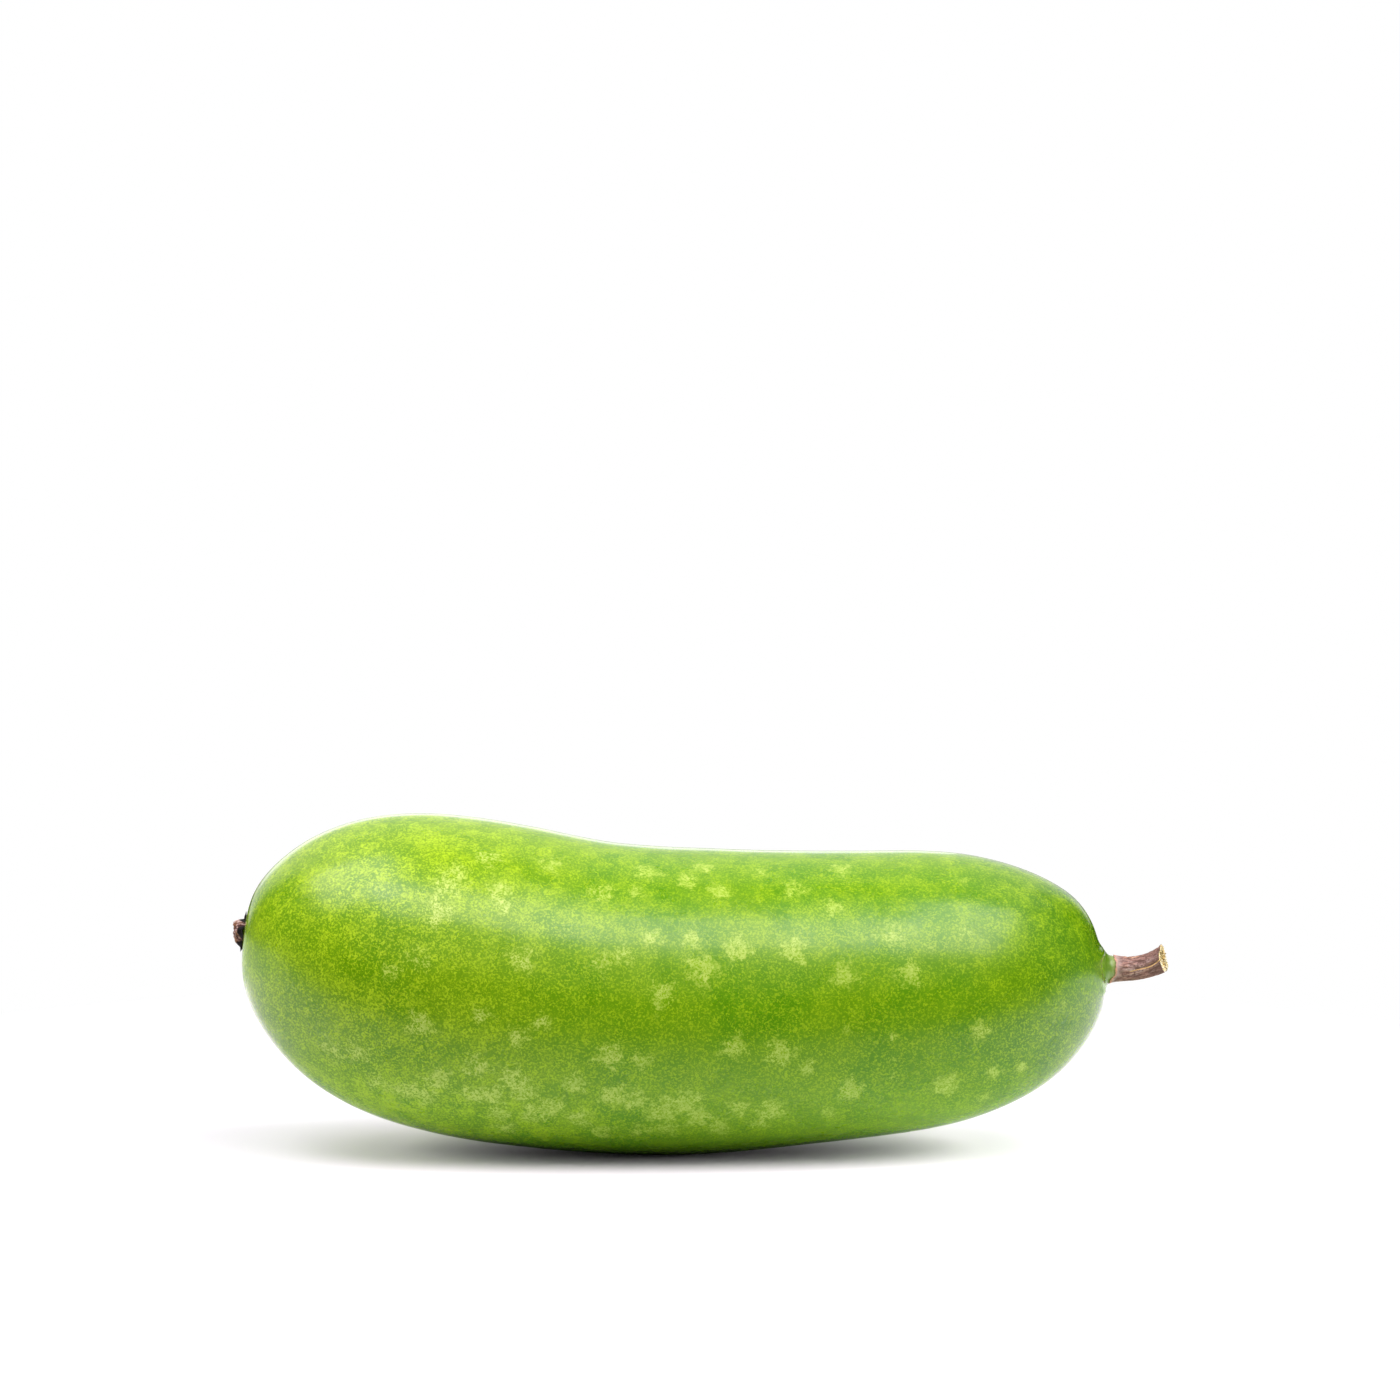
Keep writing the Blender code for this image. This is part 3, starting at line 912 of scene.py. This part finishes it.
def furrows(s, turn):
    """Height of the bark from -1 in a furrow to 0 between the furrows, with finer ones in it."""
    grain = bark_grain(s, turn)
    coarse = -max(0, 1 - abs(noise.noise(grain)) / FURROW_WIDTH)
    finer = noise.noise(FINE_FURROWS * grain + Vector((9, 4, 2)))
    fine = -max(0, 1 - abs(finer) / FINE_FURROW_WIDTH)
    return COARSE_SHARE * coarse + FINE_SHARE * fine


# %% Places of the bark's points
LIP_LENGTH = 1.2 * MM
FURROWS_AT_EDGE = 0.15
FURROWS_FULL_AFTER = 1.6 * MM


def bark_place(share, out, turn):
    """The point of the bark at a share of its length; below 0 the share runs back inside it."""
    edge = bark_edge(turn)
    inside = share < 0
    end = BARK_END_INSIDE if inside else STEM_LENGTH
    s = edge + (end - edge) * abs(share)
    full = stem_radius(s)
    height = STEM_ANGLE_HEIGHT * math.cos(STEM_ANGLES * turn)
    if not inside:
        lip = BARK_LIP * math.exp(-max(s - edge, 0) / LIP_LENGTH)
        deepening = clamp(FURROWS_AT_EDGE + (s - edge) / FURROWS_FULL_AFTER)
        furrowed = FURROW_DEPTH * furrows(s, turn) * deepening
        height += lip + furrowed - SPLIT_DEPTH * split_share(s, turn)
    centre, direction, up = stem_axis(s)
    aside = direction.cross(up)
    distance = out * (full + height * min(out, 1))
    return centre + distance * (math.cos(turn) * up + math.sin(turn) * aside), s, s - edge


# %% Bark mesh
# The profile starts inside the bark, comes out at its torn edge and runs to the tip. Each point
# keeps what the paint reads later.
BARK_INSIDE = 0.93

profile = [(-1, 0)] + [(share, BARK_INSIDE) for share in (-1, -0.5, 0)]
profile += [(share, 1) for share in even_steps(0, 1, STEM_RINGS)] + [(1, 0)]
bark = turned_once(profile, STEM_SIDES, merge=0.0001)
grain_layer = bark.verts.layers.float_vector.new("grain")
edge_layer = bark.verts.layers.float.new("from_edge")
relief_layer = bark.verts.layers.float.new("relief")
split_layer = bark.verts.layers.float.new("split")
wood_layer = bark.verts.layers.float.new("wood")
for vert in bark.verts:
    share, y, z = vert.co
    turn = math.atan2(-y, z)
    vert.co, s, past_edge = bark_place(share, math.hypot(y, z), turn)
    vert[grain_layer] = Vector((STEM_RADIUS * math.cos(turn), STEM_RADIUS * math.sin(turn), s))
    vert[edge_layer] = past_edge
    vert[relief_layer] = 1 + furrows(s, turn)
    vert[split_layer] = split_share(s, turn)
print("bark", len(bark.verts), "points")

# %% [markdown]
# ## Broken end of the stem
#
# The stem was broken off rather than cut: round a sunken hollow stand torn, straw-coloured fibres,
# the longest at the top, where they curl. They could be modelled one by one. At this size it is
# enough to inset the end face again and again, and to pull the points of each ring out or in by
# chance, which gives the same ragged edge in one closed mesh.


# %% Rings on a cut face
def corners(faces):
    """The points of some faces, always in the same order."""
    return list(dict.fromkeys(vert for face in faces for vert in face.verts))


def inner_ring(mesh, faces, middle, share):
    """Shrink faces about their middle, with a ring of new faces left around them."""
    bmesh.ops.inset_region(mesh, faces=faces, thickness=0)
    about = Matrix.Translation(-middle)
    bmesh.ops.scale(mesh, verts=corners(faces), vec=Vector((share,) * 3), space=about)


end_middle = stem_axis(STEM_LENGTH - CUT_BEFORE_TIP)[0]
end_outward = Vector((math.cos(CUT_TURN), -math.sin(CUT_TURN), math.tan(CUT_TILT))).normalized()
end_face = cut_flat(bark, end_middle, end_outward)
print("end face at", [round(v / MM, 1) for v in end_middle], "mm")

# %% Torn fibres and hollow
# The least and most that the fibres stand out, in millimetres: first on the rim, then inside each
# ring, after the share that the ring shrinks to.
RIM_FIBRES = (-0.25, 0.12)
RINGS_OF_WOOD = [
    (0.94, -0.1, 0.25), (0.93, -0.2, 0.45), (0.92, -0.25, 0.4),
    (0.9, -0.6, 0.2), (0.86, -1.2, -0.4),
]
TOP_TEAR = 1.3 * MM
TOP_CURL = 0.7 * MM
HOLLOW_SHARE = 0.9
HOLLOW_DEPTH = 1.3 * MM
ALONG_Z = Vector((0, 0, 1))
stem_chance = random.Random(11)


def torn_off(place, least, most):
    """How a fibre of the broken end stands out, and curls up at the top."""
    away = place - end_middle
    top = clamp(away.z / away.length) ** 3
    fibre = TOP_TEAR * top * clamp(most + 0.5) + stem_chance.uniform(least, most) * MM
    return fibre * end_outward + TOP_CURL * top * ALONG_Z


for vert in corners(end_face):
    vert.co += torn_off(vert.co, *RIM_FIBRES)
for shrink, least, most in RINGS_OF_WOOD:
    inner_ring(bark, end_face, end_middle, shrink)
    for vert in corners(end_face):
        vert.co += stem_chance.uniform(least, most) * MM * end_outward
        vert[wood_layer] = 1
inner_ring(bark, end_face, end_middle, HOLLOW_SHARE)
bmesh.ops.translate(bark, verts=corners(end_face), vec=-HOLLOW_DEPTH * end_outward)
poked = bmesh.ops.poke(bark, faces=end_face)
for vert in poked["verts"]:
    vert[wood_layer] = 1
bmesh.ops.recalc_face_normals(bark, faces=bark.faces)
print("stem", len(bark.faces), "faces")

# %% [markdown]
# ## Bark paint
#
# Dry bark is a mauve brown that weathers to pinkish grey on its ridges and towards the collar. It
# stays dark in its cracks and near the broken end, and its furrows get painted shade. Fresh, orange
# fibre shows where it is torn: at its edge on the collar and in the split. A plain wood grain would
# run straight on through the bend, so the noise is read along the grain kept on the mesh.

# %% Colours of the bark
BARK_DARK = (0.16, 0.078, 0.062, 1)
BARK_BROWN = (0.46, 0.25, 0.20, 1)
BARK_PALE = (0.72, 0.53, 0.49, 1)
BARK_ORANGE = (0.66, 0.34, 0.16, 1)
TORN_ORANGE = (0.74, 0.38, 0.24, 1)
SPLIT_ORANGE = (0.90, 0.56, 0.25, 1)
WOOD_STRAW = (0.93, 0.72, 0.32, 1)
WOOD_WHITE = (0.97, 0.92, 0.70, 1)
WOOD_OLIVE = (0.22, 0.14, 0.03, 1)


# %% Brown, streaks and cracks
def along_grain(tree, grain, share):
    """The place on the bark, with its length shrunk to a share, so that noise comes out long."""
    inputs = {"Vector": grain, "Scale": (1, 1, share)}
    return node(tree, "ShaderNodeMapping", inputs).outputs["Vector"]


bark_paint, tree, shader = plain_material("brown_bark")
place = object_place(tree)
grain = attribute(tree, "grain", "Vector")
from_edge = attribute(tree, "from_edge")
stretched = along_grain(tree, grain, 0.22)
streaks = noise_value(tree, stretched, 900, 4, 0.62)
patches = noise_value(tree, stretched, 330, 3, 0.6, 0.4)
orange = steps(tree, noise_value(tree, stretched, 520, 3, 0.6), 0.55, 0.7)
cracks = noise_value(tree, along_grain(tree, grain, 0.9), 1100, 2, 0.6)

brown = mixed(tree, steps(tree, streaks, 0.36, 0.62), BARK_DARK, BARK_BROWN)
brown = mixed(tree, product(tree, steps(tree, patches, 0.5, 0.68), 0.75), brown, BARK_PALE)
brown = mixed(tree, product(tree, orange, 0.7), brown, BARK_ORANGE)
# Painted shade in the furrows, read from the relief kept on the mesh.
brown = mixed(tree, steps(tree, attribute(tree, "relief"), 0.35, 0.9, 0.65, 0.0), brown, BARK_DARK)
brown = mixed(tree, steps(tree, cracks, 0.52, 0.38, 0.0, 0.85), brown, BARK_DARK)

# %% Ends, tears and split of the bark
from_start = maths(tree, "ADD", from_edge, product(tree, patches, 6 * MM))
brown = mixed(tree, steps(tree, from_start, 6 * MM, 3.5 * MM, 0.0, 0.55), brown, BARK_PALE)
near_cut = steps(tree, component(tree, grain, "Z"), 11 * MM, 17 * MM, 0.0, 0.65)
brown = mixed(tree, near_cut, brown, BARK_DARK)
torn = maths(tree, "ADD", from_edge, product(tree, streaks, 1.4 * MM))
torn = steps(tree, torn, 1.7 * MM, 1.0 * MM)
torn = product(tree, torn, steps(tree, patches, 0.4, 0.55, 0.15, 0.9))
brown = mixed(tree, torn, brown, TORN_ORANGE)
brown = mixed(tree, steps(tree, attribute(tree, "split"), 0.25, 0.75), brown, SPLIT_ORANGE)

# %% Wood of the broken end
# Its torn fibres are straw-coloured at the top, whiter lower down, with olive pith between them.
whiter = steps(tree, noise_value(tree, place, 1300, 2, 0.5), 0.34, 0.58)
lower = steps(tree, component(tree, place, "Z"), 72 * MM, 67 * MM, 0.55, 1.0)
wood = mixed(tree, product(tree, whiter, lower), WOOD_STRAW, WOOD_WHITE)
pith = steps(tree, noise_value(tree, place, 700, 2, 0.5), 0.57, 0.67, 0.0, 0.85)
wood = mixed(tree, pith, wood, WOOD_OLIVE)
bark_colour = mixed(tree, steps(tree, attribute(tree, "wood"), 0.25, 0.6), brown, wood)
tree.links.new(bark_colour, shader.inputs["Base Color"])
add_bump(tree, shader, streaks, 0.7, 0.12 * MM)
shader.inputs["Roughness"].default_value = 0.72

keep_piece("bark_stem", bark, bark_paint, "stem", sharp=50)

# %% [markdown]
# ## Withered flower
#
# The dried flower still clings to its shallow dimple: a crumpled, knobbly crust of five lobes with
# thin curled tips, one of which stands up as a dark spike. Crumpled cloth could be simulated, but
# this crust is a few millimetres wide and stiff. So a disc of rings gives front and back, folds and
# wrinkles raise the front, and only the middle of the back touches the skin.

# %% Values of the flower
FLOWER_LOBES = 5
FLOWER_DROP = 0.6 * MM
FLOWER_RADIUS = 4.6 * MM
SEPAL_LENGTH = 3.2 * MM
SEPAL_HALF_WIDTH = math.radians(32)
SEPAL_THICKNESS = 0.9 * MM
SEPAL_SHARPNESS = 3.2 * MM
SEPAL_EDGE = 0.05 * MM
SEPAL_CURL = 0.6 * MM
UPPER_LONGER = 0.2
RAGGED_RIM = 0.3 * MM
ROOTED = 0.08 * MM
OFF_SKIN = 20 * MM
flower_along, flower_up = section_axes(BLOSSOM_END)


def on_skin(out, turn):
    """The skin's point at distance out from the middle of the dimple."""
    before = centre_point(BLOSSOM_END) - FLOWER_DROP * flower_up - OFF_SKIN * flower_along
    return skin_tree.ray_cast(round_from(before, flower_up, out, turn), flower_along)[0]


# %% Crust of the flower
CRUST_HEIGHT = 3.25 * MM
CRUST_RADIUS = 5.3 * MM
CRUST_LEAN = 0.075
CRUMPLE = 0.8 * MM
CRUMPLE_LENGTH = 2.1 * MM
WRINKLE = 0.55 * MM
FOLD_LENGTH = 1.2 * MM
FOLD_WIDTH = 0.3
FINE_LENGTH = 0.5 * MM


def crust(out, turn):
    """The crust's height above the lobes, how far it stands out of itself, and its even rise."""
    flat = Vector((out * math.cos(turn), out * math.sin(turn), 5 * MM))
    crumpled = noise.noise(flat / CRUMPLE_LENGTH)
    folds = 1 - abs(noise.noise(flat / FOLD_LENGTH + Vector((3, 8, 5)))) / FOLD_WIDTH
    fine = noise.noise(flat / FINE_LENGTH)
    relief = 0.6 * crumpled + 0.8 * (folds - 0.3) + 0.3 * fine
    dome = max(0, 1 - (out / CRUST_RADIUS) ** 3) ** 0.6
    lean = 1 + CRUST_LEAN * out / MM * math.cos(turn)
    rise = CRUST_HEIGHT * dome * lean
    uneven = CRUMPLE * crumpled + WRINKLE * (max(folds, -0.6) - 0.3) + 0.15 * WRINKLE * fine
    return max(rise + dome * uneven, 0), relief, rise


# %% Places of the flower's points
def flower_place(front, reach, turn):
    """A point of the front or back, reach of the way to the edge, with its relief and rise."""
    off_lobe = abs(math.remainder(turn, FULL_TURN / FLOWER_LOBES))
    sepal = clamp(1 - off_lobe / SEPAL_HALF_WIDTH) ** 1.5
    longer = 1 + UPPER_LONGER * math.cos(turn)
    out = reach * (FLOWER_RADIUS + SEPAL_LENGTH * sepal * longer)
    out += RAGGED_RIM * reach * noise.noise(Vector((4 * math.cos(turn), 4 * math.sin(turn), 1)))
    lifted = clamp(reach / 0.5) ** 2
    height = -ROOTED + (ROOTED + GAP) * lifted + SEPAL_CURL * sepal * reach**4
    relief, rise = -1, 0
    if front:
        raised, relief, rise = crust(out, turn)
        thickness = min(SEPAL_THICKNESS, SEPAL_EDGE + SEPAL_SHARPNESS * (1 - reach))
        height += thickness + (1 - reach**6) ** 0.5 * raised
    return on_skin(out, turn) - height * flower_along, relief, rise


# %% Flower mesh
# The profile runs out along the front, where it is 1, and back to the middle behind, where it is 0.
FLOWER_SIDES = 200
FLOWER_RINGS = 64

reaches = even_steps(0, 1, FLOWER_RINGS)
profile = [(1, reach) for reach in reaches] + [(0, reach) for reach in reversed(reaches[:-1])]
flower = turned_once(profile, FLOWER_SIDES, merge=0.0001)
relief_layer = flower.verts.layers.float.new("relief")
rise_layer = flower.verts.layers.float.new("rise")
for vert in flower.verts:
    front, y, z = vert.co
    place, relief, rise = flower_place(front > 0.5, math.hypot(y, z), math.atan2(-y, z))
    vert.co, vert[relief_layer], vert[rise_layer] = place, relief, rise
bmesh.ops.recalc_face_normals(flower, faces=flower.faces)
print("flower", len(flower.faces), "faces")

# %% [markdown]
# ## Flower paint
#
# Dead petals dry to maroon and brown and bleach to a dusty pink. The paint puts the maroon in the
# pits and the pink on whatever stands out, partly as their own colour and partly as painted shade
# and highlight. It paints them almost black low down, as the shade under the crust. Noise alone
# would scatter these colours. The mesh keeps at each point how far the crust stands out of itself
# and how high it rises there, and the paint reads both.

# %% Flower paint
UNDER_CRUST_SHADE = (0.006, 0.004, 0.004, 1)
PETAL_MAROON = (0.05, 0.014, 0.011, 1)
PETAL_BROWN = (0.32, 0.165, 0.14, 1)
PETAL_PINK = (0.70, 0.50, 0.46, 1)
PETAL_ORANGE = (0.34, 0.15, 0.07, 1)

flower_paint, tree, shader = plain_material("dry_flower")
place = object_place(tree)
mottled = maths(tree, "SUBTRACT", noise_value(tree, place, 1500, 3, 0.6), 0.5)
mottled = maths(tree, "MULTIPLY_ADD", mottled, 1.6, attribute(tree, "relief"))
# Maroon in the pits and pink on what stands out: partly the petals' own colour, partly painted
# shade and highlight.
petal = mixed(tree, steps(tree, mottled, -0.15, 0.25), PETAL_MAROON, PETAL_BROWN)
petal = mixed(tree, steps(tree, mottled, 0.2, 0.7), petal, PETAL_PINK)
orange = steps(tree, noise_value(tree, place, 650, 2, 0.5), 0.54, 0.64)
petal = mixed(tree, product(tree, orange, 0.7), petal, PETAL_ORANGE)
# Almost black where the crust rises little, on its rim, tips and back: painted shade under the
# crust.
petal = mixed(tree, steps(tree, attribute(tree, "rise"), 1.4 * MM, 1.9 * MM), UNDER_CRUST_SHADE, petal)
tree.links.new(petal, shader.inputs["Base Color"])
add_bump(tree, shader, noise_value(tree, place, 2600, 3, 0.6), 0.6, 0.06 * MM)
shader.inputs["Roughness"].default_value = 0.6
shader.inputs["Specular IOR Level"].default_value = 0.25

keep_piece("dried_flower", flower, flower_paint, "withered_flower", sharp=60)

# %% [markdown]
# ## Size
#
# A finely modelled piece has to stay the size of the solid that it stands for. So the script
# measures the box round the finished pieces.

# %% Size
seen = [list(corner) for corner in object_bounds()]
